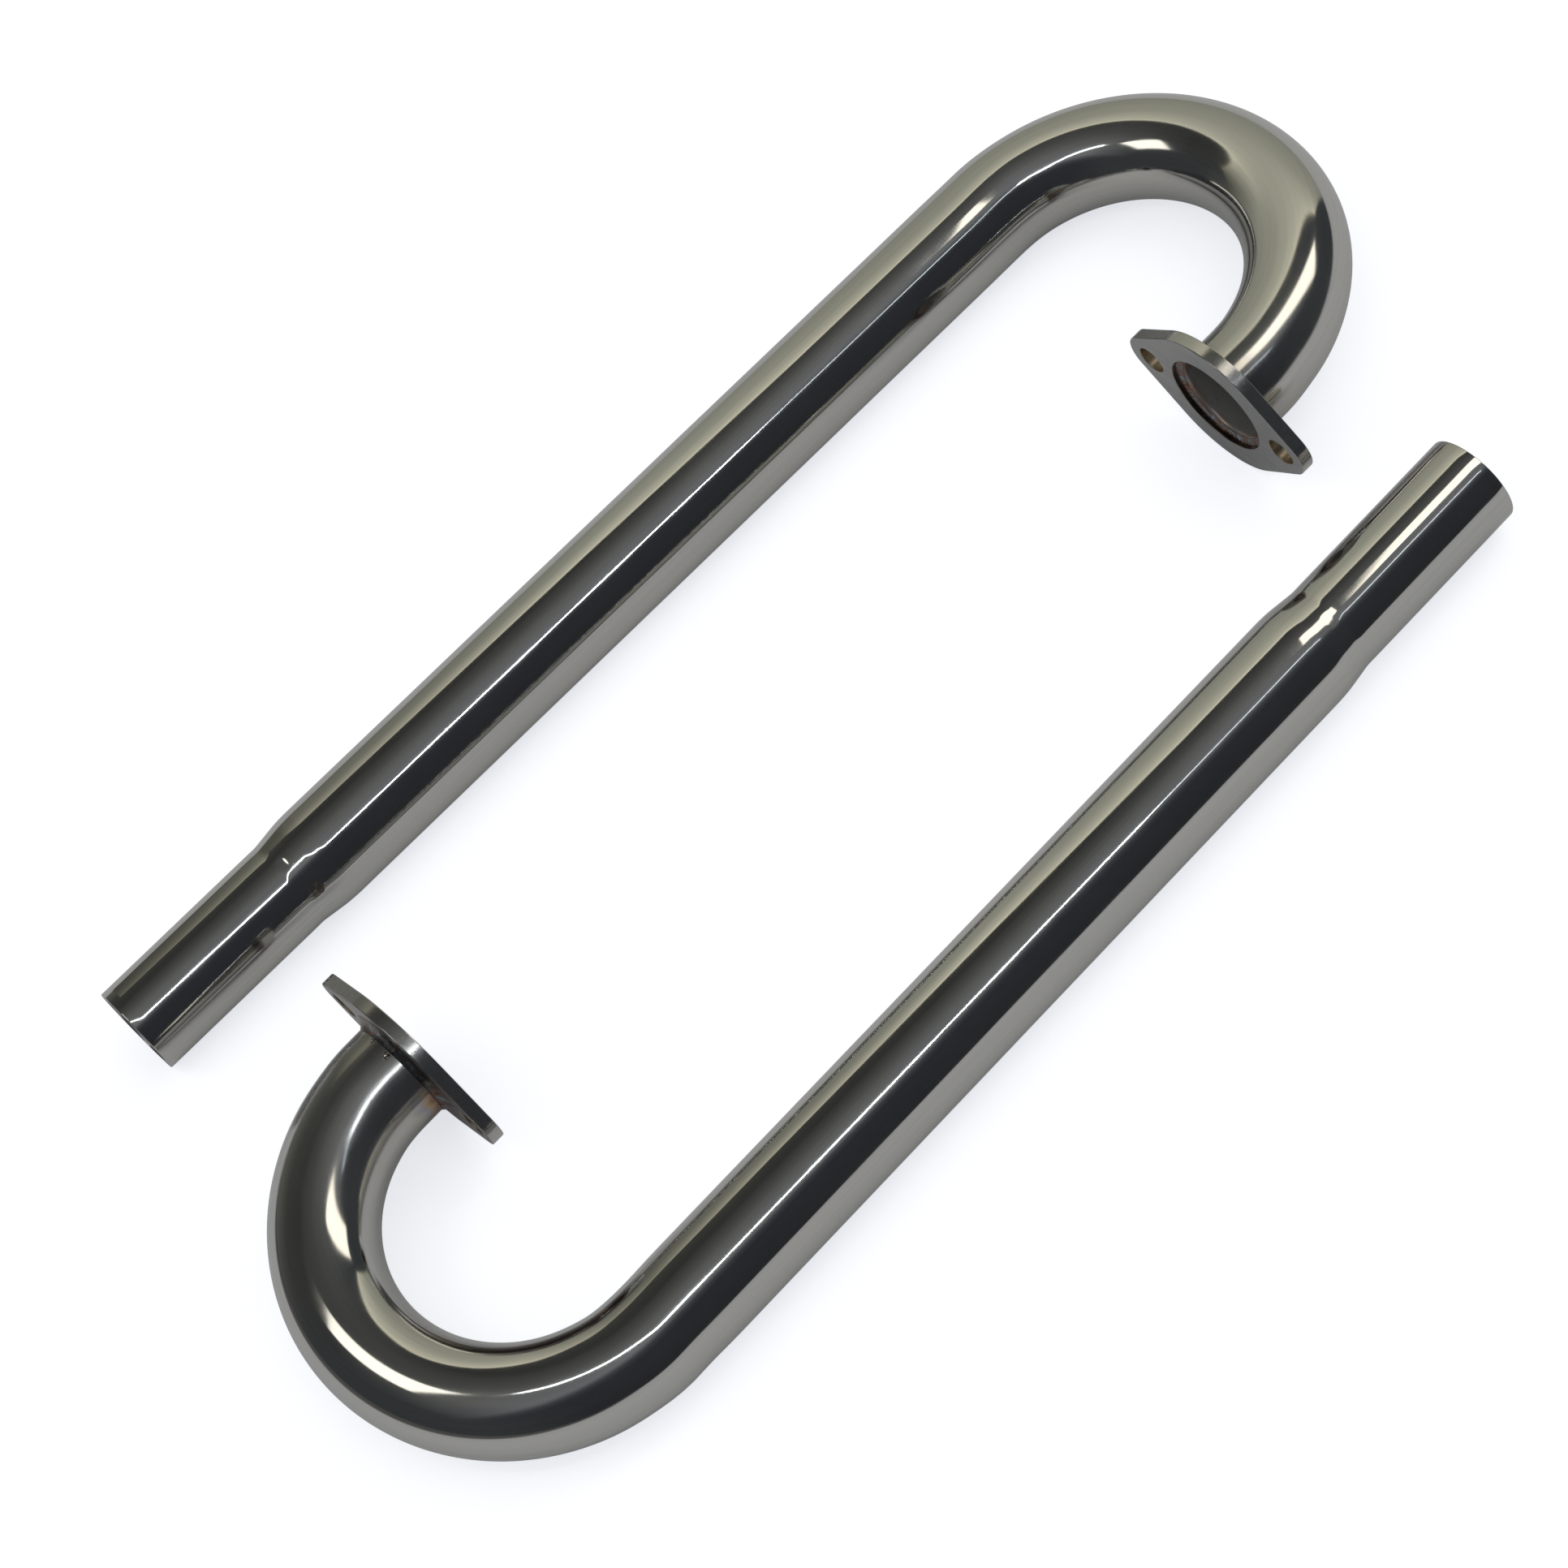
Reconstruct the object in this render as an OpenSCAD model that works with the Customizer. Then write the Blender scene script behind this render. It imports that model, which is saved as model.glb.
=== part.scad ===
// A pair of polished exhaust J-pipes. Each pipe is one tube bent back on itself, with a
// swaged slip end on its long leg and a two-bolt flange welded to its short leg.
// Both lie on a flat surface, each resting on its long leg and on the edge of its flange.
// Units are millimetres. +Z is up, and the surface is at Z = 0.

/* [Tube] */
// Outside diameter of the tube
tube_d = 38.1; // [30:0.1:50]
// Wall thickness of the tube
tube_wall = 1.5; // [1:0.1:2.5]
// Radius of the bend, to the middle of the tube
bend_radius = 66.3; // [50:0.1:120]
// Straight part of the rear pipe's long leg, at full diameter
rear_leg = 338.5; // [200:0.5:500]
// Straight part of the front pipe's long leg, at full diameter
front_leg = 311.5; // [200:0.5:500]
// From the end of the bend to the front face of the flange
flange_reach = 15; // [12:0.5:60]

/* [Slip end] */
// How much smaller the slip end is than the tube, on the diameter
slip_step = 3.1; // [1:0.1:6]
// Length of the parallel slip end
slip_length = 73.5; // [40:0.5:120]
// Length of the swaged taper behind the slip end
taper_length = 12; // [4:0.5:30]

/* [Flange] */
// Thickness of the flange plate
flange_thickness = 5; // [4:0.5:8]
// Radial gap between the tube and the bore of the flange, which the welds close
bore_clearance = 1.2; // [0.2:0.1:2]
// Width of plate around the bore, at the round middle lobe
lobe_land = 10.25; // [7:0.25:14]
// Diameter of each bolt hole
bolt_hole_d = 11; // [6:0.5:13]
// Plate between the bore and each bolt hole
bolt_land = 5.25; // [3:0.25:12]
// Plate between each bolt hole and the end of the flange
end_land = 4.9; // [3:0.1:10]
// Turn of each flange out of its pipe's own plane, opposite ways on the two pipes
flange_turn = 6; // [0:0.5:10]

/* [Welds] */
// How far the end of the tube stops short of the flange's front face
tube_setback = 2.8; // [1:0.1:3.5]
// Leg of the outer fillet weld, along the tube and out over the flange
outer_weld_leg = 2.8; // [1.5:0.1:4]
// Height of the inner weld bead, beyond the end of the tube
inner_weld_height = 1.2; // [0.5:0.1:2]
// Diameter of the larger drop of weld spatter on the front pipe
spatter_d = 2.6; // [1.5:0.1:4]

/* [Layout of the pair] */
// Free gap between one pipe's flange tip and the other pipe's long leg
pair_gap = 33.8; // [10:0.1:100]
// How far the rear pipe's slip end reaches past the front pipe's bend centre
pair_overlap = 46.4; // [0:0.1:120]
// Angle between the two long legs
pair_skew = 1.37; // [0:0.01:3]

/* [Hidden] */

steel = [0.74, 0.74, 0.71];
plate = [0.60, 0.60, 0.59];
bead = [0.50, 0.43, 0.38];
round_fn = 96;
overlap = 1;

tube_r = tube_d / 2;
bore_r = tube_r - tube_wall;
slip_r = tube_r - slip_step / 2;
slip_bore_r = slip_r - tube_wall;
end_length = taper_length + slip_length;

flange_bore_r = tube_r + bore_clearance;
lobe_r = flange_bore_r + lobe_land;
hole_r = bolt_hole_d / 2;
hole_x = flange_bore_r + bolt_land + hole_r;
end_r = hole_r + end_land;
tip_x = hole_x + end_r;
// Where the straight sides of the flange leave the lobe and the ends
side_angle = acos((lobe_r - end_r) / hole_x);

// The flange's lobe and the long leg touch the same surface, so the pipe leans by this
lean = asin((lobe_r - tube_r) / (2 * bend_radius));
centre_height = tube_r + bend_radius * sin(lean);

// Bend centres of the two pipes, placed so that the pair's box is centred on the origin
centre_x = (rear_leg + end_length - pair_overlap) / 2;
centre_y = (tip_x + pair_gap + tube_r) / 2;

// A pipe's own frame has its origin at the bend centre and the pipe in the XY plane. The
// long leg runs towards -X at Y = bend_radius, and the short leg at Y = -bend_radius.
module rear_place() {
    translate([centre_x, centre_y, centre_height]) rotate([-lean, 0, 0]) children();
}

module front_place() {
    translate([-centre_x, -centre_y, centre_height])
        rotate([0, 0, 180 + pair_skew]) rotate([-lean, 0, 0]) children();
}

// From the bend's end, along the short leg: +Z runs towards the flange's front face
module on_short_leg(distance) {
    translate([-distance, -bend_radius, 0]) rotate([0, -90, 0]) children();
}

// One side of a pipe's wall: its outside, or its inside with both ends run through
module pipe_solid(leg, r, end_radius, run_through) {
    translate([0, bend_radius, 0]) rotate([0, -90, 0]) rotate_extrude($fn = round_fn)
        polygon([
            [0, 0], [r, 0], [r, leg], [end_radius, leg + taper_length],
            [end_radius, leg + end_length + run_through],
            [0, leg + end_length + run_through]
        ]);
    rotate([0, 0, -90]) rotate_extrude(angle = 180, $fn = round_fn)
        translate([bend_radius, 0]) circle(r = r, $fn = round_fn);
    on_short_leg(0)
        cylinder(r = r, h = flange_reach - tube_setback + run_through, $fn = round_fn);
}

module pipe(leg) {
    color(steel) difference() {
        pipe_solid(leg, tube_r, slip_r, 0);
        pipe_solid(leg, bore_r, slip_bore_r, overlap);
    }
}

module flange_outline() {
    circle(r = lobe_r, $fn = round_fn);
    for (side = [-1, 1]) translate([0, side * hole_x]) circle(r = end_r, $fn = round_fn);
    polygon([for (q = [[1, 1], [-1, 1], [-1, -1], [1, -1]], on_end = q[0] * q[1] > 0 ? [0, 1] : [1, 0])
        let (r = on_end == 1 ? end_r : lobe_r)
        [q[0] * r * sin(side_angle), q[1] * (on_end * hole_x + r * cos(side_angle))]]);
}

module flange(turn) {
    color(plate) on_short_leg(flange_reach - flange_thickness) rotate([0, 0, turn])
        difference() {
            linear_extrude(flange_thickness) flange_outline();
            translate([0, 0, -overlap])
                cylinder(r = flange_bore_r, h = flange_thickness + 2 * overlap, $fn = round_fn);
            for (side = [-1, 1]) translate([0, side * hole_x, -overlap])
                cylinder(r = hole_r, h = flange_thickness + 2 * overlap, $fn = round_fn);
        }
}

// Fillet between the tube and the back of the flange, slightly hollow like the real bead
module outer_weld() {
    toe = flange_bore_r + outer_weld_leg;
    color(bead) on_short_leg(flange_reach - flange_thickness) rotate_extrude($fn = round_fn)
        polygon([
            [tube_r, 0], [toe, 0], [flange_bore_r + outer_weld_leg * 0.3, -outer_weld_leg * 0.35],
            [tube_r, -outer_weld_leg]
        ]);
}

// Bead between the end of the tube and the wall of the flange's bore
module inner_weld() {
    mouth = flange_reach - tube_setback;
    color(bead) on_short_leg(mouth) rotate_extrude($fn = round_fn)
        polygon([
            [bore_r, 0], [flange_bore_r, 0], [flange_bore_r, inner_weld_height],
            [tube_r, inner_weld_height], [bore_r, inner_weld_height / 2]
        ]);
}

// A drop stuck to the outside of the short leg, flat where it sits on the tube
module drop(d, distance, angle) {
    outline = [[0, 0], [0.42, 0], [0.5, 0.22], [0.4, 0.48], [0.2, 0.64], [0, 0.68]];
    on_short_leg(distance) rotate([0, 0, angle]) translate([tube_r, 0, 0])
        rotate([0, 90, 0]) rotate_extrude($fn = 32) polygon(outline * d);
}

module weld_spatter() {
    weld_toe = flange_reach - flange_thickness - outer_weld_leg;
    color(steel) {
        drop(spatter_d, weld_toe - spatter_d * 0.55, 7);
        drop(spatter_d * 0.6, weld_toe - spatter_d * 0.35, -17);
    }
}

rear_place() pipe(rear_leg);  // rear_pipe
rear_place() flange(-flange_turn);  // rear_flange
rear_place() outer_weld();  // rear_outer_weld
rear_place() inner_weld();  // rear_inner_weld
front_place() pipe(front_leg);  // front_pipe
front_place() flange(flange_turn);  // front_flange
front_place() outer_weld();  // front_outer_weld
front_place() inner_weld();  // front_inner_weld
front_place() weld_spatter();  // front_weld_spatter
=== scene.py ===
import math
import bmesh
import bpy
import numpy as np
from mathutils import Matrix, Vector


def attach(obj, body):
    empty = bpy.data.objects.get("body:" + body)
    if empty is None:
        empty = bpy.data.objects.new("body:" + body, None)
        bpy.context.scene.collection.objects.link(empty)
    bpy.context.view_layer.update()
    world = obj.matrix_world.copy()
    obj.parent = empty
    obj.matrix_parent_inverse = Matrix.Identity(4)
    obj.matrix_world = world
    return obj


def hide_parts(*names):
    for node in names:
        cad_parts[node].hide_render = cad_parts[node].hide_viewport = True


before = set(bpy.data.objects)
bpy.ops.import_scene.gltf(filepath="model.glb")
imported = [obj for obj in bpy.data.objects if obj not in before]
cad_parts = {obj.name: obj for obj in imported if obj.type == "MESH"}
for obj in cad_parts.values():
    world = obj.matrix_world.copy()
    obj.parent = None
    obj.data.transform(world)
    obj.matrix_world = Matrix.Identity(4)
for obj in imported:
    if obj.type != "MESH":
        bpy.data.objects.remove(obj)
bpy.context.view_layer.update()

MM = 0.001
MICRON = 0.000001

# Driving sizes of the pair, in millimetres and degrees, as in the CAD source
TUBE_R = 38.1 / 2
TUBE_WALL = 1.5
BEND_RADIUS = 66.3
REAR_LEG = 338.5
FRONT_LEG = 311.5
FLANGE_REACH = 15
SLIP_STEP = 3.1
SLIP_LENGTH = 73.5
TAPER_LENGTH = 12
FLANGE_THICKNESS = 5
BORE_CLEARANCE = 1.2
LOBE_LAND = 10.25
HOLE_R = 11 / 2
BOLT_LAND = 5.25
END_LAND = 4.9
FLANGE_TURN = 6
TUBE_SETBACK = 2.8
OUTER_WELD_LEG = 2.8
INNER_WELD_HEIGHT = 1.2
SPATTER_D = 2.6
PAIR_GAP = 33.8
PAIR_OVERLAP = 46.4
PAIR_SKEW = 1.37

# Sizes that follow from them
SLIP_R = TUBE_R - SLIP_STEP / 2
BORE_R = TUBE_R - TUBE_WALL
FLANGE_BORE_R = TUBE_R + BORE_CLEARANCE
LOBE_R = FLANGE_BORE_R + LOBE_LAND
HOLE_X = FLANGE_BORE_R + BOLT_LAND + HOLE_R
END_R = HOLE_R + END_LAND
END_LENGTH = SLIP_LENGTH + TAPER_LENGTH
BEND_LENGTH = math.pi * BEND_RADIUS
SHORT_LEG = FLANGE_REACH - TUBE_SETBACK
FLANGE_BACK = FLANGE_REACH - FLANGE_THICKNESS
SIDE_ANGLE = math.acos((LOBE_R - END_R) / HOLE_X)
LEAN = math.asin((LOBE_R - TUBE_R) / (2 * BEND_RADIUS))
CENTRE = Vector((
    (REAR_LEG + END_LENGTH - PAIR_OVERLAP) / 2,
    (HOLE_X + END_R + PAIR_GAP + TUBE_R) / 2,
    TUBE_R + BEND_RADIUS * math.sin(LEAN),
))

# A pipe's own frame has its origin at the bend centre, with the long leg towards -X
REAR_PLACE = Matrix.Translation(CENTRE) @ Matrix.Rotation(-LEAN, 4, "X")
FRONT_PLACE = (
    Matrix.Translation((-CENTRE.x, -CENTRE.y, CENTRE.z))
    @ Matrix.Rotation(math.radians(180 + PAIR_SKEW), 4, "Z")
    @ Matrix.Rotation(-LEAN, 4, "X")
)

# How many points the meshes have round each shape
TUBE_AROUND = 120
WELD_AROUND = 480
BORE_AROUND = 96
HOLE_AROUND = 48
DROP_AROUND = 32

# Rounded edges: radius and turns of the tube's lip, size and steps of the flange's edges
LIP = 0.35
LIP_TURNS = np.radians([22.5, 45, 67.5, 90])
BEVEL = 0.4
BEVEL_STEPS = 4

# Half lengths of the rounded corners of the swage, as shares of its taper
NECK = 0.09
SHOULDER = 0.28


def on_short_leg(distance):
    """Frame on the short leg: +Z runs towards the flange's front face, and +X is up."""
    return (Matrix.Translation((-distance, -BEND_RADIUS, 0))
            @ Matrix.Rotation(math.radians(-90), 4, "Y"))


def smooth(x):
    """0 below 0, 1 above 1, with a soft start and end."""
    x = np.clip(x, 0, 1)
    return x * x * (3 - 2 * x)


def bump(x, width):
    """A soft hill of height 1 at x = 0."""
    return np.exp(-(x / width) ** 2)


def circle_angles(steps):
    return np.arange(steps) * 2 * math.pi / steps


def turn_faces_outward(mesh):
    work = bmesh.new()
    work.from_mesh(mesh)
    bmesh.ops.recalc_face_normals(work, faces=work.faces)
    work.to_mesh(mesh)
    work.free()


def add_to_scene(name, data):
    obj = bpy.data.objects.new(name, data)
    bpy.context.scene.collection.objects.link(obj)
    return obj


def make_object(name, points, faces, place, materials):
    """A smooth mesh object from points in millimetres, in the frame that place gives."""
    mesh = bpy.data.meshes.new(name)
    mesh.from_pydata([tuple(p) for p in points], [], faces)
    turn_faces_outward(mesh)
    mesh.transform(Matrix.Scale(MM, 4) @ place)
    for material in materials:
        mesh.materials.append(material)
    mesh.shade_smooth()
    return add_to_scene(name, mesh)


def add_points(obj, name, values):
    """Stores one number, or one vector, at each point for the materials to read."""
    values = np.asarray(values, np.float32)
    if values.ndim == 1:
        obj.data.attributes.new(name, "FLOAT", "POINT").data.foreach_set("value", values)
    else:
        layer = obj.data.attributes.new(name, "FLOAT_VECTOR", "POINT")
        layer.data.foreach_set("vector", values.ravel())


def grid_faces(rows, columns):
    """Quads of a grid that closes on itself both ways."""
    faces = []
    for i in range(rows):
        low, high = i * columns, (i + 1) % rows * columns
        for j in range(columns):
            k = (j + 1) % columns
            faces.append((low + j, low + k, high + k, high + j))
    return faces


def finish_piece(obj, node):
    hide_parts(node)
    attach(obj, "root")


# ---------------------------------------------------------------- pipes

# How the real tube departs from a true one, in millimetres
FLAT_OUTSIDE = 0.28
FLAT_INSIDE = 0.10
FLAT_EASE_IN = 22
FLAT_EASE_OUT = 14
WAVE_DEPTH = 0.004
RING_DEPTH = 0.03

# Ripples left by the bending: (distance past the bend's start or end, half width, depth)
START_RIPPLES = [(-5, 8, 0.24), (14, 7, 0.17)]
END_RIPPLES = [(-12, 6, 0.12)]

# Shares of the satin finish in the bend and of the heat tint all round the tube
BEND_SATIN = 0.12
TINT_ALL_ROUND = 0.12


def centre_line(s, leg):
    """Centres and outward directions at distances s from the slip end's mouth."""
    bend_start = END_LENGTH + leg
    angle = np.clip((s - bend_start) / BEND_RADIUS, 0, math.pi)
    outward = np.stack([np.sin(angle), np.cos(angle), np.zeros_like(s)], 1)
    straight = np.minimum(s - bend_start, 0) - np.maximum(s - bend_start - BEND_LENGTH, 0)
    centre = outward * BEND_RADIUS
    centre[:, 0] += straight
    return centre, outward


def tube_radius(s):
    """Outside radius: the slip end, a swage with a crisp neck and a round shoulder, the tube."""
    u = (s - SLIP_LENGTH) / TAPER_LENGTH
    share = np.clip(u, 0, 1)
    share = np.where(abs(u) < NECK, (u + NECK) ** 2 / (4 * NECK), share)
    share = np.where(abs(u - 1) < SHOULDER, 1 - (1 + SHOULDER - u) ** 2 / (4 * SHOULDER), share)
    return SLIP_R + (TUBE_R - SLIP_R) * share


def flattening(s, theta, bend_start, bend_end):
    """The bend is a little flat on its outside, and less so on its inside."""
    in_bend = smooth((s - bend_start) / FLAT_EASE_IN) * smooth((bend_end - s) / FLAT_EASE_OUT)
    return in_bend * (FLAT_OUTSIDE * np.maximum(np.cos(theta), 0) ** 2
                      + FLAT_INSIDE * np.maximum(-np.cos(theta), 0) ** 2)


def waves(s, theta):
    """Long shallow waves in the wall, between 0 and 6."""
    return 3 + (np.sin(s / 17.3 + 1.4 * np.sin(theta)) + np.sin(s / 29.7 + 2 * theta)
                + np.sin(s / 9.1 - 3 * theta))


def swage_rings(s, theta):
    """Shallow uneven rings that the dies leave at both ends of the taper."""
    rings = bump(s - SLIP_LENGTH + 1.5, 1.6) + bump(s - END_LENGTH - 1, 2.2)
    return RING_DEPTH * rings * (1.2 + np.cos(5 * theta + 0.6))


def die_mark(s, theta, place, angle, length, width, depth):
    """A four-sided dent with soft edges."""
    across = (theta - math.radians(angle) + math.pi) % (2 * math.pi) - math.pi
    return depth * (smooth(1.5 - abs(s - place) / length)
                    * smooth(1.5 - abs(across) * TUBE_R / width))


def dents(s, theta, leg, marks):
    """How far the real surface lies inside the true tube."""
    bend_start = END_LENGTH + leg
    bend_end = bend_start + BEND_LENGTH
    s, theta = s[:, None], theta[None, :]
    depth = flattening(s, theta, bend_start, bend_end)
    ripples = [(bend_start + past, width, size) for past, width, size in START_RIPPLES]
    ripples += [(bend_end + past, width, size) for past, width, size in END_RIPPLES]
    for place, width, size in ripples:
        depth = depth + size * bump(s - place, width) * (0.55 + 0.45 * np.cos(2 * theta + 0.8))
    depth = depth + WAVE_DEPTH * waves(s, theta)
    depth = depth + swage_rings(s, theta)
    for mark in marks:
        depth = depth + die_mark(s, theta, *mark)
    return depth


def stretches(plan, end):
    """Distances up to end. plan holds (start, step), and a stretch runs to the next start."""
    distances = []
    ends = [start for start, step in plan[1:]] + [end]
    for (start, step), stop in zip(plan, ends):
        count = max(2, math.ceil((stop - start) / step) + 1)
        distances.append(np.linspace(start, stop, count)[:-1])
    return np.concatenate(distances + [[end]])


def pipe_rows(leg):
    """Rows of the closed skin: outside from the flange to the mouth, lip, then back inside."""
    bend_start = END_LENGTH + leg
    bend_end = bend_start + BEND_LENGTH
    end = bend_end + SHORT_LEG
    outside = stretches([
        (LIP, 4), (SLIP_LENGTH - 4, 0.6), (END_LENGTH + 4, 5), (bend_start - 24, 2),
        (bend_start, 1.8), (bend_end, 1.2)], end)
    inside = stretches([
        (LIP, 5), (SLIP_LENGTH, 1.5), (END_LENGTH, 10), (bend_start, 3.6), (bend_end, 2)], end)
    lip_s = LIP * (1 - np.sin(LIP_TURNS))
    lip_depth = LIP * (1 - np.cos(LIP_TURNS))
    s = np.concatenate([outside[::-1], lip_s, lip_s[::-1], inside])
    radius = np.concatenate([
        tube_radius(outside[::-1]), SLIP_R - lip_depth,
        SLIP_R - TUBE_WALL + lip_depth[::-1], tube_radius(inside) - TUBE_WALL])
    is_inside = np.arange(len(s)) >= len(outside) + 2 * len(LIP_TURNS)
    return s, radius, is_inside


def mark_pipe(obj, s, theta, r, leg, hand_finish, tint):
    """Stores the pipe laid out straight, and where it is satin or can be tinted by heat."""
    straightened = np.stack([
        np.broadcast_to(s[:, None], r.shape), r * np.cos(theta), r * np.sin(theta)], -1) * MM
    add_points(obj, "straight", straightened.reshape(-1, 3))
    from_flange = END_LENGTH + leg + BEND_LENGTH + FLANGE_BACK - s
    add_points(obj, "from_flange", np.repeat(from_flange * MM, TUBE_AROUND))
    in_bend = smooth((s - END_LENGTH - leg + 12) / 40)
    near_flange = smooth((80 - from_flange) / 60)
    satin = BEND_SATIN * in_bend + hand_finish * near_flange
    add_points(obj, "satin", np.repeat(satin, TUBE_AROUND))
    strength, direction = tint
    facing = smooth((np.cos(theta - math.radians(direction)) - 0.45) / 0.4)
    add_points(obj, "tint", np.tile(TINT_ALL_ROUND + strength * facing, len(s)))


def build_pipe(name, leg, place, marks, hand_finish, tint):
    """A bent tube as one closed skin, with its own material inside."""
    s, radius, is_inside = pipe_rows(leg)
    theta = circle_angles(TUBE_AROUND)
    centre, outward = centre_line(s, leg)
    r = radius[:, None] - dents(s, theta, leg, marks)
    up = np.array([0, 0, 1.0])
    points = (centre[:, None] + r[..., None] * (
        np.cos(theta)[None, :, None] * outward[:, None] + np.sin(theta)[None, :, None] * up))
    obj = make_object(name, points.reshape(-1, 3), grid_faces(len(s), TUBE_AROUND), place,
                      [material_of(polished_steel), material_of(tube_bore)])
    inner_faces = np.repeat(is_inside, TUBE_AROUND).astype(np.int32)
    obj.data.polygons.foreach_set("material_index", inner_faces)
    mark_pipe(obj, s, theta, r, leg, hand_finish, tint)
    return obj


# ---------------------------------------------------------------- flanges

# Each arc of the flange's outline: (centre, radius, start angle, end angle, points)
OUTLINE_ARCS = [
    (HOLE_X, END_R, -SIDE_ANGLE, SIDE_ANGLE, 28),
    (0, LOBE_R, SIDE_ANGLE, math.pi - SIDE_ANGLE, 30),
    (-HOLE_X, END_R, math.pi - SIDE_ANGLE, math.pi + SIDE_ANGLE, 28),
    (0, LOBE_R, math.pi + SIDE_ANGLE, 2 * math.pi - SIDE_ANGLE, 30)]


def outline(inset):
    """Points and outward directions round the flange: two end arcs and two sides of the lobe."""
    points, normals = [], []
    for centre, radius, start, end, steps in OUTLINE_ARCS:
        for angle in np.linspace(start, end, steps):
            normal = np.array([math.sin(angle), math.cos(angle)])
            points.append(np.array([0, centre]) + normal * (radius - inset))
            normals.append(normal)
    return np.array(points), np.array(normals)


def round_hole(centre, radius, steps):
    """A function like outline for a hole, whose outward direction is into the hole."""
    def loop(inset):
        angle = circle_angles(steps)
        out = np.stack([np.cos(angle), np.sin(angle)], 1)
        return np.array([0, centre]) + out * (radius + inset), -out
    return loop


# Each loop of the flange's edge: (what gives its points, 1 at a bolt hole, 1 at the bore)
FLANGE_LOOPS = [
    (outline, 0, 0), (round_hole(0, FLANGE_BORE_R, BORE_AROUND), 0, 1),
    (round_hole(HOLE_X, HOLE_R, HOLE_AROUND), 1, 0),
    (round_hole(-HOLE_X, HOLE_R, HOLE_AROUND), 1, 0)]


def edge_profile():
    """(height, inset, tilt) down the rounded front edge, the wall and the rounded back edge."""
    rows = []
    for k in range(BEVEL_STEPS + 1):
        tilt = k * math.pi / 2 / BEVEL_STEPS
        rows.append((FLANGE_THICKNESS - BEVEL * (1 - math.cos(tilt)),
                     BEVEL * (1 - math.sin(tilt)), tilt))
    return rows + [(FLANGE_THICKNESS - z, inset, math.pi - tilt) for z, inset, tilt in rows[::-1]]


def add_edge_wall(work, loop):
    """Adds the wall round one loop. Returns its front and back rings, points, normals and rim."""
    rows, points, normals, rim = [], [], [], []
    for z, inset, tilt in edge_profile():
        flat, out = loop(inset)
        rows.append([work.verts.new((x, y, z)) for x, y in flat])
        points += [(x, y, z) for x, y in flat]
        normals += [(math.sin(tilt) * nx, math.sin(tilt) * ny, math.cos(tilt)) for nx, ny in out]
        rim += [math.sin(tilt)] * len(flat)
    for upper, lower in zip(rows, rows[1:]):
        for j in range(len(upper)):
            k = (j + 1) % len(upper)
            work.faces.new((upper[j], lower[j], lower[k], upper[k]))
    return rows[0], rows[-1], points, normals, rim


def ring_edges(work, ring):
    return [work.edges.get((ring[j], ring[(j + 1) % len(ring)])) for j in range(len(ring))]


def build_flange(name, place, turn):
    """The plate: a rounded wall round its outline and each hole, and two flat faces."""
    work = bmesh.new()
    front_edges, back_edges, points, normals = [], [], [], []
    shares = {"rim": [], "hole": [], "bore": []}
    for loop, at_hole, at_bore in FLANGE_LOOPS:
        front, back, wall_points, wall_normals, rim = add_edge_wall(work, loop)
        front_edges += ring_edges(work, front)
        back_edges += ring_edges(work, back)
        points += wall_points
        normals += wall_normals
        shares["rim"] += rim
        shares["hole"] += [at_hole * value for value in rim]
        shares["bore"] += [at_bore * value for value in rim]
    for edges in (front_edges, back_edges):
        bmesh.ops.triangle_fill(work, use_beauty=True, use_dissolve=False, edges=edges)
    bmesh.ops.recalc_face_normals(work, faces=work.faces)
    work.verts.index_update()
    mesh = bpy.data.meshes.new(name)
    work.to_mesh(mesh)
    work.free()
    to_part = place @ on_short_leg(FLANGE_BACK) @ Matrix.Rotation(math.radians(turn), 4, "Z")
    mesh.transform(Matrix.Scale(MM, 4) @ to_part)
    mesh.shade_smooth()
    turn_only = to_part.to_3x3()
    mesh.normals_split_custom_set_from_vertices([turn_only @ Vector(n) for n in normals])
    mesh.materials.append(material_of(satin_plate))
    obj = add_to_scene(name, mesh)
    add_points(obj, "straight", np.array(points) * MM)
    for share, values in shares.items():
        add_points(obj, share, values)
    return obj


# ---------------------------------------------------------------- welds and drops

RIPPLES = 58
RIPPLE_HEIGHT = 0.22
SECTION_STEPS = 11
DROP_RINGS = 12


def build_weld(name, place, distance, section):
    """A bead swept round the tube. section holds (radius, height, ripple share) points."""
    theta = circle_angles(WELD_AROUND)
    section = np.array(section, float)
    middle = section[:, :2].mean(0)
    rows = []
    for radius, height, share in section:
        away = np.array([radius, height]) - middle
        away /= np.linalg.norm(away)
        phase = RIPPLES * theta / 2 + 1.1 * share + 0.7 * np.sin(3 * theta) + 0.4 * np.sin(7 * theta)
        uneven = np.abs(np.sin(phase)) - 0.6 + 0.3 * np.sin(5 * theta + radius)
        lift = RIPPLE_HEIGHT * share * uneven
        r = radius + away[0] * lift
        z = height + away[1] * lift
        rows.append(np.stack([r * np.cos(theta), r * np.sin(theta), z], 1))
    points = np.concatenate(rows)
    obj = make_object(name, points, grid_faces(len(section), WELD_AROUND),
                      place @ on_short_leg(distance), [material_of(browned_weld)])
    add_points(obj, "straight", points * MM)
    add_points(obj, "crest", np.repeat(section[:, 2], WELD_AROUND))
    return obj


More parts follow.
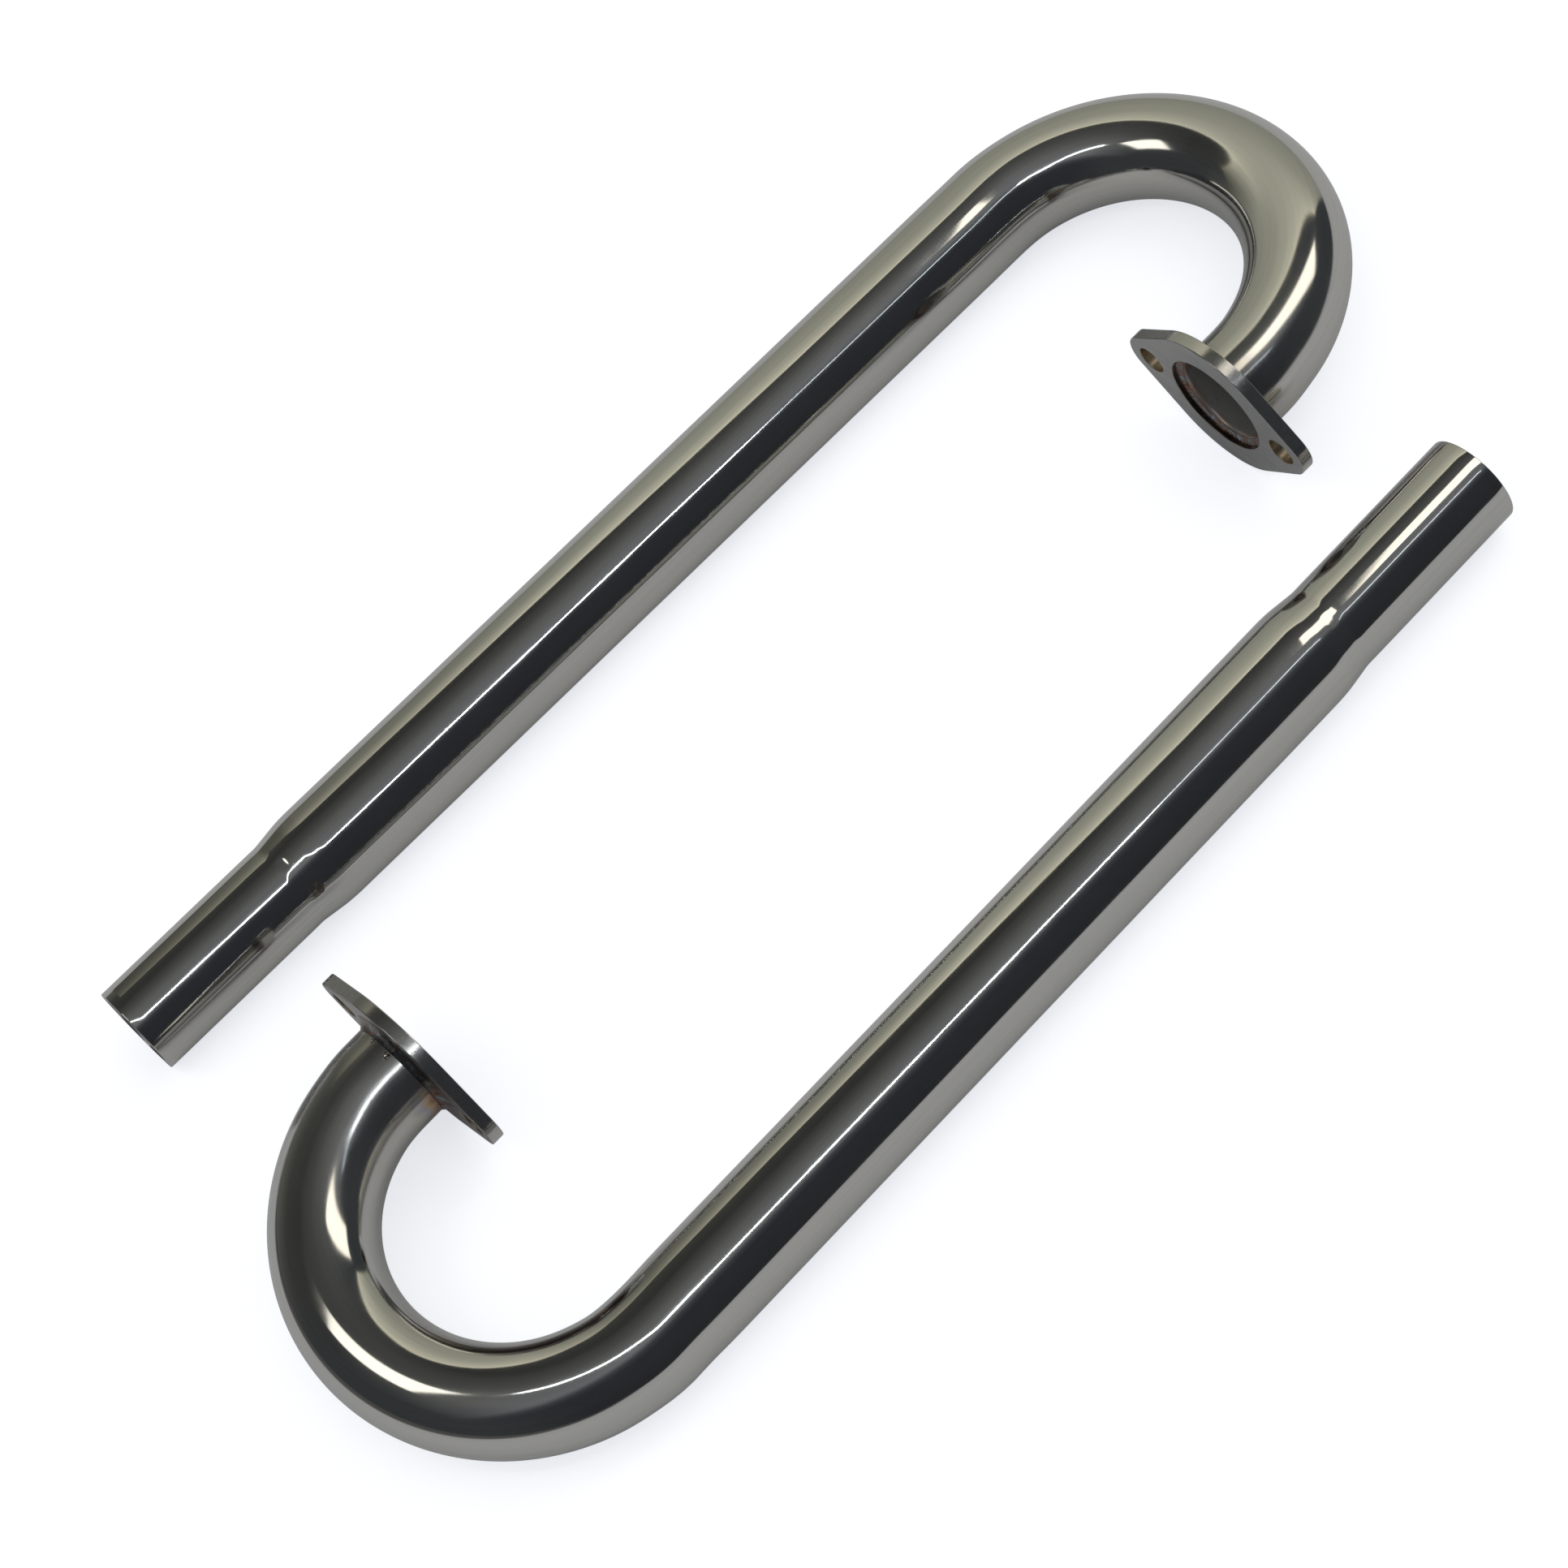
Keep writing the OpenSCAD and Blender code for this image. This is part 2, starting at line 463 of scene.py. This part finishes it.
def outer_section():
    """Slightly hollow fillet from the back of the flange to the tube's side."""
    toe = FLANGE_BORE_R + OUTER_WELD_LEG
    points = [(TUBE_R - 0.3, 0.3, 0), (toe, 0.3, 0)]
    for u in np.linspace(0, 1, SECTION_STEPS):
        sag = math.sin(math.pi * u)
        points.append((toe + (TUBE_R - toe) * u - 0.35 * sag,
                       -OUTER_WELD_LEG * u + 0.25 * sag, sag))
    return points


def inner_section():
    """Bead from the wall of the flange's bore down to the bore of the tube."""
    points = [(BORE_R + 0.2, -0.4, 0), (FLANGE_BORE_R, -0.4, 0)]
    for u in np.linspace(0, 1, SECTION_STEPS):
        crown = math.sin(math.pi * u)
        points.append((FLANGE_BORE_R + (BORE_R - FLANGE_BORE_R) * u,
                       INNER_WELD_HEIGHT * (1 - 0.9 * u) + 0.1 * crown, crown))
    return points


def drop_points(diameter, lean):
    """Rings of a solidified drop and its top point: a flat foot, +Z away from the tube."""
    points = []
    for i in range(DROP_RINGS):
        rise = i / DROP_RINGS * math.pi * 0.62
        height = diameter * (0.2 + 0.46 * math.sin(rise - math.pi * 0.12))
        for angle in circle_angles(DROP_AROUND):
            radius = diameter * 0.5 * math.sin(math.pi * 0.38 + rise) * (
                1 + 0.06 * math.sin(2 * angle + 1) + 0.03 * math.sin(3 * angle))
            points.append((radius * math.cos(angle) + lean * height,
                           radius * math.sin(angle), height))
    top = diameter * 0.66
    return points + [(lean * top, 0, top)]


def drop_faces(base):
    """The sides, the fan round the top point and the foot of the drop that starts at base."""
    faces = []
    top = base + DROP_RINGS * DROP_AROUND
    for j in range(DROP_AROUND):
        k = (j + 1) % DROP_AROUND
        for low in range(base, top - DROP_AROUND, DROP_AROUND):
            high = low + DROP_AROUND
            faces.append((low + j, low + k, high + k, high + j))
        faces.append((top - DROP_AROUND + j, top - DROP_AROUND + k, top))
    faces.append(tuple(base + j for j in range(DROP_AROUND))[::-1])
    return faces


def build_drops(name, place):
    """Two drops on the short leg: (diameter, distance, angle round the tube, lean)."""
    points, faces = [], []
    weld_toe = FLANGE_BACK - OUTER_WELD_LEG
    for diameter, distance, angle, lean in (
            (SPATTER_D, weld_toe - SPATTER_D * 0.55, 7, 0.15),
            (SPATTER_D * 0.6, weld_toe - SPATTER_D * 0.35, -17, -0.1)):
        to_pipe = (on_short_leg(distance) @ Matrix.Rotation(math.radians(angle), 4, "Z")
                   @ Matrix.Translation((TUBE_R - 0.1, 0, 0))
                   @ Matrix.Rotation(math.radians(90), 4, "Y"))
        faces += drop_faces(len(points))
        points += [to_pipe @ Vector(p) for p in drop_points(diameter, lean)]
    obj = make_object(name, points, faces, place, [material_of(bright_drop)])
    add_points(obj, "straight", np.array([tuple(p) for p in points]) * MM)
    return obj


# ---------------------------------------------------------------- materials

class Nodes:
    """Short ways to add shader nodes to one material or world."""

    def __init__(self, tree):
        self.tree = tree
        tree.nodes.clear()

    def add(self, kind, inputs=None, **settings):
        node = self.tree.nodes.new(kind)
        for key, value in settings.items():
            setattr(node, key, value)
        for key, value in (inputs or {}).items():
            self.put(node.inputs[key], value)
        return node

    def put(self, socket, value):
        if isinstance(value, bpy.types.NodeSocket):
            self.tree.links.new(value, socket)
        else:
            socket.default_value = value

    def attribute(self, name, output="Vector"):
        return self.add("ShaderNodeAttribute", attribute_name=name).outputs[output]

    def share(self, name):
        return self.attribute(name, "Fac")

    def position_x(self):
        place = self.add("ShaderNodeNewGeometry").outputs["Position"]
        return self.add("ShaderNodeSeparateXYZ", {"Vector": place}).outputs["X"]

    def math(self, operation, a, b=0.0):
        return self.add("ShaderNodeMath", {0: a, 1: b}, operation=operation).outputs[0]

    def remap(self, value, low, high, to_low, to_high):
        return self.add("ShaderNodeMapRange", {
            "Value": value, "From Min": low, "From Max": high,
            "To Min": to_low, "To Max": to_high}).outputs["Result"]

    def stretched(self, vector, scale):
        return self.add("ShaderNodeVectorMath", {0: vector, 1: scale},
                        operation="MULTIPLY").outputs[0]

    def noise(self, vector, scale, detail=3.0, roughness=0.5):
        """Noise whose cells are 1/scale metres along each axis of vector."""
        return self.add("ShaderNodeTexNoise", {
            "Vector": self.stretched(vector, scale), "Scale": 1.0,
            "Detail": detail, "Roughness": roughness}).outputs["Fac"]

    def mix(self, factor, a, b):
        """A blend of two colors. A Mix node keeps its color sockets at 6 and 7, and out at 2."""
        node = self.add("ShaderNodeMix", data_type="RGBA")
        self.put(node.inputs[0], factor)
        self.put(node.inputs[6], a)
        self.put(node.inputs[7], b)
        return node.outputs[2]

    def ramp(self, factor, stops):
        node = self.add("ShaderNodeValToRGB", {"Fac": factor})
        elements = node.color_ramp.elements
        elements[0].position, elements[0].color = stops[0][0], (*stops[0][1], 1)
        elements[1].position, elements[1].color = stops[-1][0], (*stops[-1][1], 1)
        for place, color in stops[1:-1]:
            elements.new(place).color = (*color, 1)
        return node.outputs["Color"]

    def bumped(self, height, distance, normal=None):
        node = self.add("ShaderNodeBump", {"Height": height, "Distance": distance})
        if normal is not None:
            self.put(node.inputs["Normal"], normal)
        return node.outputs["Normal"]

    def metal(self, color, roughness, normal, metallic=1.0):
        shader = self.add("ShaderNodeBsdfPrincipled", {
            "Base Color": color, "Metallic": metallic, "Roughness": roughness, "Normal": normal})
        self.add("ShaderNodeOutputMaterial", {"Surface": shader.outputs[0]})


def material_of(paint):
    """The material named after the function paint, which adds its nodes the first time.

    The frame holds a material for each slot, so paint never has the name of a slot."""
    name = paint.__name__
    material = bpy.data.materials.get(name)
    if material is None:
        material = bpy.data.materials.new(name)
        material.use_nodes = True
        paint(Nodes(material.node_tree))
    return material


def rgb(r, g, b):
    return (r, g, b, 1.0)


# The polished tube: two tones of its clouds, and the darker lines along it
STEEL_WARM = rgb(0.66, 0.645, 0.61)
STEEL_COOL = rgb(0.61, 0.605, 0.59)
DRAWN_LINES = rgb(0.52, 0.51, 0.49)

# Heat tint from the weld outwards, how it fades, and its reach and raggedness in metres
TINT_BANDS = [
    (0.0, (0.16, 0.10, 0.07)), (0.18, (0.24, 0.13, 0.08)), (0.30, (0.42, 0.27, 0.13)),
    (0.42, (0.36, 0.34, 0.40)), (0.62, (0.60, 0.56, 0.46)), (1.0, (0.66, 0.65, 0.62))]
TINT_FADE = [(0.0, (1, 1, 1)), (0.45, (0.75, 0.75, 0.75)), (1.0, (0, 0, 0))]
TINT_REACH = 0.020
TINT_RAGGED = 0.0022

# The inside of the tube, its brown scale, and how metallic it is
BORE_LIGHT = rgb(0.42, 0.415, 0.405)
BORE_DARK = rgb(0.29, 0.285, 0.28)
BORE_SCALE = rgb(0.30, 0.17, 0.11)
BORE_METALLIC = 0.65

# The flange: its face, the lay marks on it, its rim, its bolt holes, and its bore wall, scorched by
# heat and darkened almost to black with painted shade
FACE_LIGHT = rgb(0.46, 0.455, 0.44)
FACE_DARK = rgb(0.35, 0.35, 0.36)
LAY_DARK = rgb(0.27, 0.27, 0.27)
RIM_LIGHT = rgb(0.66, 0.64, 0.60)
RIM_DARK = rgb(0.52, 0.51, 0.50)
HOLE_LIGHT = rgb(0.46, 0.39, 0.28)
HOLE_DARK = rgb(0.34, 0.27, 0.19)
SCORCH_AND_SHADE_DARK = rgb(0.09, 0.065, 0.055)
SCORCH_AND_SHADE_LIGHT = rgb(0.20, 0.12, 0.09)
SCORCH_AND_SHADE_SHARE = 0.92

# The welds: heat colors in patches, and the metal that shows a little on the crests
WELD_HEAT = [
    (0.30, (0.07, 0.045, 0.04)), (0.42, (0.26, 0.12, 0.08)), (0.50, (0.20, 0.165, 0.145)),
    (0.58, (0.17, 0.18, 0.215)), (0.70, (0.50, 0.49, 0.47))]
CREST_METAL = rgb(0.50, 0.47, 0.43)
CREST_SHARE = 0.10

DROP_METAL = rgb(0.74, 0.72, 0.68)
DROP_STRAW = rgb(0.56, 0.49, 0.38)

# Roughness of each finish, from its shiniest to its dullest places, or what is added to it
POLISH = (0.05, 0.095)
BELT_ADDS = (0.0, 0.02)
SATIN_ADDS = (0.11, 0.20)
BORE_FINISH = (0.27, 0.34)
FACE_FINISH = (0.26, 0.42)
RIM_FINISH = (0.15, 0.24)
HOLE_ADDS = 0.16
WELD_FINISH = (0.16, 0.40)
DROP_FINISH = (0.08, 0.20)


def heat_tint(n, color, coords, from_flange):
    """Straw, brown and blue bands next to the weld, ragged round the tube."""
    ragged = n.noise(coords, (90, 160, 160), 3)
    distance = n.math("ADD", from_flange, n.remap(ragged, 0.3, 0.7, -TINT_RAGGED, TINT_RAGGED))
    reach = n.remap(distance, 0.0, TINT_REACH, 0.0, 1.0)
    band = n.ramp(reach, TINT_BANDS)
    strength = n.ramp(reach, TINT_FADE)
    return n.mix(n.math("MULTIPLY", strength, n.share("tint")), color, band)


def polished_steel(n):
    """Mirror-polished stainless steel, with fine belt marks that run round the tube."""
    coords = n.attribute("straight")
    cloud = n.noise(coords, (16, 45, 45), 2)
    smudge = n.noise(coords, (60, 110, 110), 5, 0.6)
    belt = n.noise(coords, (2600, 45, 45), 3, 0.65)
    drawn = n.noise(coords, (6, 900, 900), 2)
    color = n.mix(cloud, STEEL_WARM, STEEL_COOL)
    color = n.mix(n.remap(drawn, 0.35, 0.75, 0.0, 0.35), color, DRAWN_LINES)
    color = heat_tint(n, color, coords, n.share("from_flange"))
    satin = n.share("satin")
    streak = n.noise(coords, (14, 520, 520), 4, 0.6)
    shine = n.math("ADD", n.remap(smudge, 0.35, 0.75, *POLISH),
                   n.remap(belt, 0.3, 0.7, *BELT_ADDS))
    shine = n.math("ADD", shine, n.math(
        "MULTIPLY", satin, n.remap(streak, 0.3, 0.7, *SATIN_ADDS)))
    normal = n.bumped(cloud, 50 * MICRON)
    normal = n.bumped(belt, 0.8 * MICRON, normal)
    normal = n.bumped(n.math("MULTIPLY", streak, satin), 3 * MICRON, normal)
    n.metal(color, shine, normal)


def tube_bore(n):
    """The inside of the tube: duller, with brown scale at its end by the flange."""
    coords = n.attribute("straight")
    cloud = n.noise(coords, (40, 90, 90), 4)
    speck = n.noise(coords, (500, 500, 500), 3, 0.7)
    color = n.mix(cloud, BORE_LIGHT, BORE_DARK)
    distance = n.math("ADD", n.share("from_flange"), n.remap(cloud, 0.35, 0.65, -0.002, 0.002))
    color = n.mix(n.remap(distance, -0.002, 0.001, 0.7, 0.0), color, BORE_SCALE)
    shine = n.remap(speck, 0.3, 0.75, *BORE_FINISH)
    n.metal(color, shine, n.bumped(cloud, 20 * MICRON), BORE_METALLIC)


def satin_plate(n):
    """The flange: a satin face with faint lay marks, a brighter rim, browned holes, and a bore wall
    browned by heat and darkened with painted shade.
    """
    coords = n.attribute("straight")
    rim = n.share("rim")
    hole = n.share("hole")
    cloud = n.noise(coords, (70, 70, 70), 4)
    lay = n.noise(coords, (1500, 60, 200), 4, 0.6)
    pits = n.noise(coords, (900, 900, 900), 3, 0.7)
    face = n.mix(cloud, FACE_LIGHT, FACE_DARK)
    face = n.mix(n.remap(lay, 0.40, 0.65, 0.0, 0.55), face, LAY_DARK)
    color = n.mix(rim, face, n.mix(cloud, RIM_LIGHT, RIM_DARK))
    color = n.mix(hole, color, n.mix(cloud, HOLE_LIGHT, HOLE_DARK))
    # Painted shade: the wall of the bore is darkened almost to black, part heat scale and part
    # painted shade in the gap above the inner weld.
    scorch_and_shade = n.mix(n.remap(pits, 0.4, 0.6, 0.0, 1.0), SCORCH_AND_SHADE_DARK, SCORCH_AND_SHADE_LIGHT)
    color = n.mix(n.math("MULTIPLY", n.share("bore"), SCORCH_AND_SHADE_SHARE), color, scorch_and_shade)
    satin = n.remap(lay, 0.3, 0.7, *FACE_FINISH)
    bright = n.math("ADD", n.remap(pits, 0.3, 0.75, *RIM_FINISH),
                    n.math("MULTIPLY", hole, HOLE_ADDS))
    shine = n.math("ADD", n.math("MULTIPLY", rim, bright),
                   n.math("MULTIPLY", n.math("SUBTRACT", 1.0, rim), satin))
    normal = n.bumped(cloud, 30 * MICRON)
    marks = n.math("MULTIPLY", lay, n.math("SUBTRACT", 1.05, rim))
    n.metal(color, shine, n.bumped(marks, 6 * MICRON, normal))


def browned_weld(n):
    """Rippled weld metal, browned and blued by heat, a little brighter on its crests."""
    coords = n.attribute("straight")
    patch = n.noise(coords, (260, 260, 260), 4, 0.6)
    speck = n.noise(coords, (1400, 1400, 1400), 3, 0.7)
    crest = n.math("MULTIPLY", n.share("crest"), CREST_SHARE)
    color = n.mix(crest, n.ramp(patch, WELD_HEAT), CREST_METAL)
    shine = n.remap(speck, 0.3, 0.75, *WELD_FINISH)
    n.metal(color, shine, n.bumped(speck, 15 * MICRON))


def bright_drop(n):
    """A bright solidified drop with a faint straw tint."""
    coords = n.attribute("straight")
    patch = n.noise(coords, (500, 500, 500), 3)
    color = n.mix(patch, DROP_METAL, DROP_STRAW)
    n.metal(color, n.remap(patch, 0.3, 0.7, *DROP_FINISH), n.bumped(patch, 40 * MICRON))


# ---------------------------------------------------------------- the pair

# Marks of the swaging dies: (from the mouth, angle, half length, half width, depth)
REAR_MARKS = [(76.5, 156, 2.4, 2.4, 0.14), (75, 108, 1.6, 2.2, 0.16), (57, 174, 5, 2.2, 0.03)]
FRONT_MARKS = [(76, 75, 1.8, 2.2, 0.12), (77, 141, 2.0, 2.0, 0.12), (46, 350, 0.8, 1.6, 0.05)]

# Each pipe: side, long leg, place, flange turn, die marks, satin by the flange, and its heat
# tint as (strength, angle from the outside of the bend over the top)
PIPES = [
    ("rear", REAR_LEG, REAR_PLACE, -FLANGE_TURN, REAR_MARKS, 0.25, (0.15, 20)),
    ("front", FRONT_LEG, FRONT_PLACE, FLANGE_TURN, FRONT_MARKS, 0.6, (0.9, 200))]

for side, leg, place, turn, marks, hand_finish, tint in PIPES:
    finish_piece(build_pipe(side + "_bent_tube", leg, place, marks, hand_finish, tint),
                 side + "_pipe")
    finish_piece(build_flange(side + "_bolt_plate", place, turn),
                 side + "_flange")
    finish_piece(build_weld(side + "_fillet_bead", place, FLANGE_BACK, outer_section()),
                 side + "_outer_weld")
    finish_piece(build_weld(side + "_mouth_bead", place, SHORT_LEG, inner_section()),
                 side + "_inner_weld")
finish_piece(build_drops("front_drops", FRONT_PLACE), "front_weld_spatter")


# ---------------------------------------------------------------- floor, world and wall

# The floor, in metres: its half size, and where the pale sheet ends as the metal sees it
FLOOR_HALF = 6.0
FLOOR_TONE = rgb(0.58, 0.58, 0.58)
CAMERA_FILL = 0.70
FILL_COLOR = rgb(0.93, 0.95, 1.0)
SHEET_EDGE = -0.44
EDGE_BLUR = 0.05
PAST_EDGE = rgb(0.05, 0.05, 0.05)
PAST_EDGE_SHARE = 0.85

# What polished metal sees round the pair, by the angle up from the front horizon, over the
# top and down to the back horizon, in degrees
ROOM = [
    (0, (0.027, 0.028, 0.032)), (50, (0.030, 0.034, 0.041)), (58, (0.055, 0.062, 0.072)),
    (66, (0.19, 0.20, 0.215)), (86, (0.15, 0.155, 0.155)), (104, (0.085, 0.088, 0.085)),
    (124, (0.040, 0.041, 0.040)), (150, (0.055, 0.056, 0.050)), (180, (0.13, 0.132, 0.118))]

# What it sees towards both ends of X, and the plain light that the world gives
ROOM_ENDS = rgb(0.043, 0.048, 0.053)
PLAIN_COLOR = rgb(0.97, 0.98, 1.0)
PLAIN_LIGHT = 0.61

# A pale wall behind the pair, seen only in the metal: (X, height) along its top edge, its
# tones from the bottom up, and the places on X between which it rises to full strength
WALL_Y = 0.65
WALL_TOP = [(-0.22, 0.42), (-0.02, 0.55), (0.14, 0.70), (0.40, 1.12), (1.00, 1.36), (5.00, 2.20)]
WALL_TONES = [(0.0, (0.30, 0.31, 0.26)), (0.45, (0.39, 0.395, 0.33)),
              (0.85, (0.63, 0.62, 0.50)), (1.0, (0.96, 0.91, 0.73))]
WALL_ROWS = 8
WALL_DIM_X = -0.22
WALL_FULL_X = 0.12
WALL_DIM = 0.22


def pale_floor(n):
    """White to the camera, with a glow only it sees, and dark past the sheet's edge in metal."""
    path = n.add("ShaderNodeLightPath")
    past_edge = n.remap(n.position_x(), SHEET_EDGE, SHEET_EDGE - EDGE_BLUR, 0.0, PAST_EDGE_SHARE)
    in_metal = n.math("MULTIPLY", past_edge, path.outputs["Is Glossy Ray"])
    paint = n.add("ShaderNodeBsdfDiffuse", {"Color": n.mix(in_metal, FLOOR_TONE, PAST_EDGE)})
    fill = n.add("ShaderNodeEmission", {
        "Color": FILL_COLOR,
        "Strength": n.math("MULTIPLY", path.outputs["Is Camera Ray"], CAMERA_FILL)})
    both = n.add("ShaderNodeAddShader", {0: paint.outputs[0], 1: fill.outputs[0]})
    n.add("ShaderNodeOutputMaterial", {"Surface": both.outputs[0]})


def build_floor():
    """A pale floor that reads white to the camera and keeps the shadow of the pair."""
    mesh = bpy.data.meshes.new("floor")
    corners = [(-1, -1), (1, -1), (1, 1), (-1, 1)]
    mesh.from_pydata([(x * FLOOR_HALF, y * FLOOR_HALF, 0) for x, y in corners], [], [(0, 1, 2, 3)])
    mesh.materials.append(material_of(pale_floor))
    floor = add_to_scene("floor", mesh)


def build_world():
    """White to the camera, plain grey as light, and a dim room in the metal."""
    world = bpy.data.worlds.new("studio")
    world.use_nodes = True
    bpy.context.scene.world = world
    n = Nodes(world.node_tree)
    direction = n.add("ShaderNodeSeparateXYZ", {
        "Vector": n.add("ShaderNodeTexCoord").outputs["Generated"]})
    toward_front = n.math("MULTIPLY", direction.outputs["Y"], -1.0)
    angle = n.math("ARCTAN2", direction.outputs["Z"], toward_front)
    room = n.ramp(n.math("DIVIDE", angle, math.pi), [(d / 180, color) for d, color in ROOM])
    aside = n.math("ABSOLUTE", direction.outputs["X"])
    room = n.mix(n.remap(aside, 0.45, 0.85, 0.0, 1.0), room, ROOM_ENDS)
    seen_in_metal = n.add("ShaderNodeBackground", {"Color": room, "Strength": 1.0})
    plain = n.add("ShaderNodeBackground", {"Color": PLAIN_COLOR, "Strength": PLAIN_LIGHT})
    white = n.add("ShaderNodeBackground", {"Color": rgb(1, 1, 1), "Strength": 1.0})
    path = n.add("ShaderNodeLightPath")
    lit = n.add("ShaderNodeMixShader", {
        0: path.outputs["Is Glossy Ray"], 1: plain.outputs[0], 2: seen_in_metal.outputs[0]})
    seen = n.add("ShaderNodeMixShader", {
        0: path.outputs["Is Camera Ray"], 1: lit.outputs[0], 2: white.outputs[0]})
    n.add("ShaderNodeOutputWorld", {"Surface": seen.outputs[0]})


def pale_wall(n):
    """A glow with the wall's tones, dimmer towards -X."""
    tone = n.ramp(n.share("share"), WALL_TONES)
    strength = n.remap(n.position_x(), WALL_DIM_X, WALL_FULL_X, WALL_DIM, 1.0)
    glow = n.add("ShaderNodeEmission", {"Color": tone, "Strength": strength})
    n.add("ShaderNodeOutputMaterial", {"Surface": glow.outputs[0]})


def build_wall():
    """The wall as columns of points, each with its share of the height. Only metal sees it."""
    column = WALL_ROWS + 1
    points, shares = [], []
    for x, top in WALL_TOP:
        for k in range(column):
            points.append((x, WALL_Y, top * k / WALL_ROWS))
            shares.append(k / WALL_ROWS)
    faces = []
    for i in range(len(WALL_TOP) - 1):
        for low in range(i * column, i * column + WALL_ROWS):
            faces.append((low, low + 1, low + column + 1, low + column))
    mesh = bpy.data.meshes.new("pale_wall")
    mesh.from_pydata(points, [], faces)
    mesh.materials.append(material_of(pale_wall))
    wall = add_to_scene("pale_wall", mesh)
    add_points(wall, "share", shares)
    for ray in ("camera", "diffuse", "transmission", "volume_scatter", "shadow"):
        setattr(wall, "visible_" + ray, False)


# ---------------------------------------------------------------- lamps and camera

# Long lamps overhead on the camera's side: (name, one end, other end, radiance, color)
STRIP_WIDTH = 0.024
STRIPS = [
    ("right_strip", (0.42, -0.704, 1.40), (0.95, -0.80, 1.40), 2.6, (0.82, 0.92, 1.0)),
    ("front_strip", (-0.05, -0.62, 1.40), (0.42, -0.704, 1.40), 20, (0.90, 0.96, 1.0)),
    ("side_strip", (-0.52, -0.10, 1.40), (-0.05, -0.62, 1.40), 14, (0.90, 0.96, 1.0))]

# Softboxes that shine at the middle of the pair: (name, place, width, color)
BOX_HEIGHT = 0.45
BOX_RADIANCE = 1.75
BOXES = [
    ("right_box", (1.15, -0.20, 1.30), 1.20, (1.0, 0.95, 0.82)),
    ("left_box", (-0.73, 0.26, 1.10), 0.42, (1.0, 0.97, 0.88))]

CAMERA_PLACE = (-0.2749, -0.7491, 1.2435)
CAMERA_TURN = (29.56, 15.09, -43.25)
CAMERA_LENS = 98.3
CAMERA_SENSOR = 36


def add_lamp(name, middle, along, away, width, height, radiance, color):
    """A flat lamp: its width runs along one direction, and it shines opposite to away.

    Its watts follow from its radiance and area."""
    data = bpy.data.lights.new(name, "AREA")
    data.shape = "RECTANGLE"
    data.size = width
    data.size_y = height
    data.energy = radiance * math.pi * width * height
    data.color = color
    lamp = add_to_scene(name, data)
    lamp.matrix_world = Matrix.Translation(middle) @ Matrix(
        (along, away.cross(along), away)).transposed().to_4x4()
    lamp.visible_camera = False


def add_strip(name, start, end, radiance, color):
    """A long lamp between two points, facing the pair."""
    start, end = Vector(start), Vector(end)
    middle = (start + end) / 2
    along = (end - start).normalized()
    away = (middle - along * middle.dot(along)).normalized()
    add_lamp(name, middle, along, away, (end - start).length, STRIP_WIDTH, radiance, color)


def add_box(name, place, width, color):
    """A softbox facing the middle of the pair, with its width square to Y."""
    away = Vector(place).normalized()
    along = Vector((0, 1, 0)).cross(away).normalized()
    add_lamp(name, place, along, away, width, BOX_HEIGHT, BOX_RADIANCE, color)


def build_camera():
    data = bpy.data.cameras.new("camera")
    data.lens = CAMERA_LENS
    data.sensor_width = CAMERA_SENSOR
    camera = add_to_scene("camera", data)
    camera.location = CAMERA_PLACE
    camera.rotation_euler = [math.radians(a) for a in CAMERA_TURN]
    bpy.context.scene.camera = camera


build_floor()
build_world()
build_wall()
for strip in STRIPS:
    add_strip(*strip)
for box in BOXES:
    add_box(*box)
build_camera()
bpy.context.scene.view_settings.view_transform = "Standard"
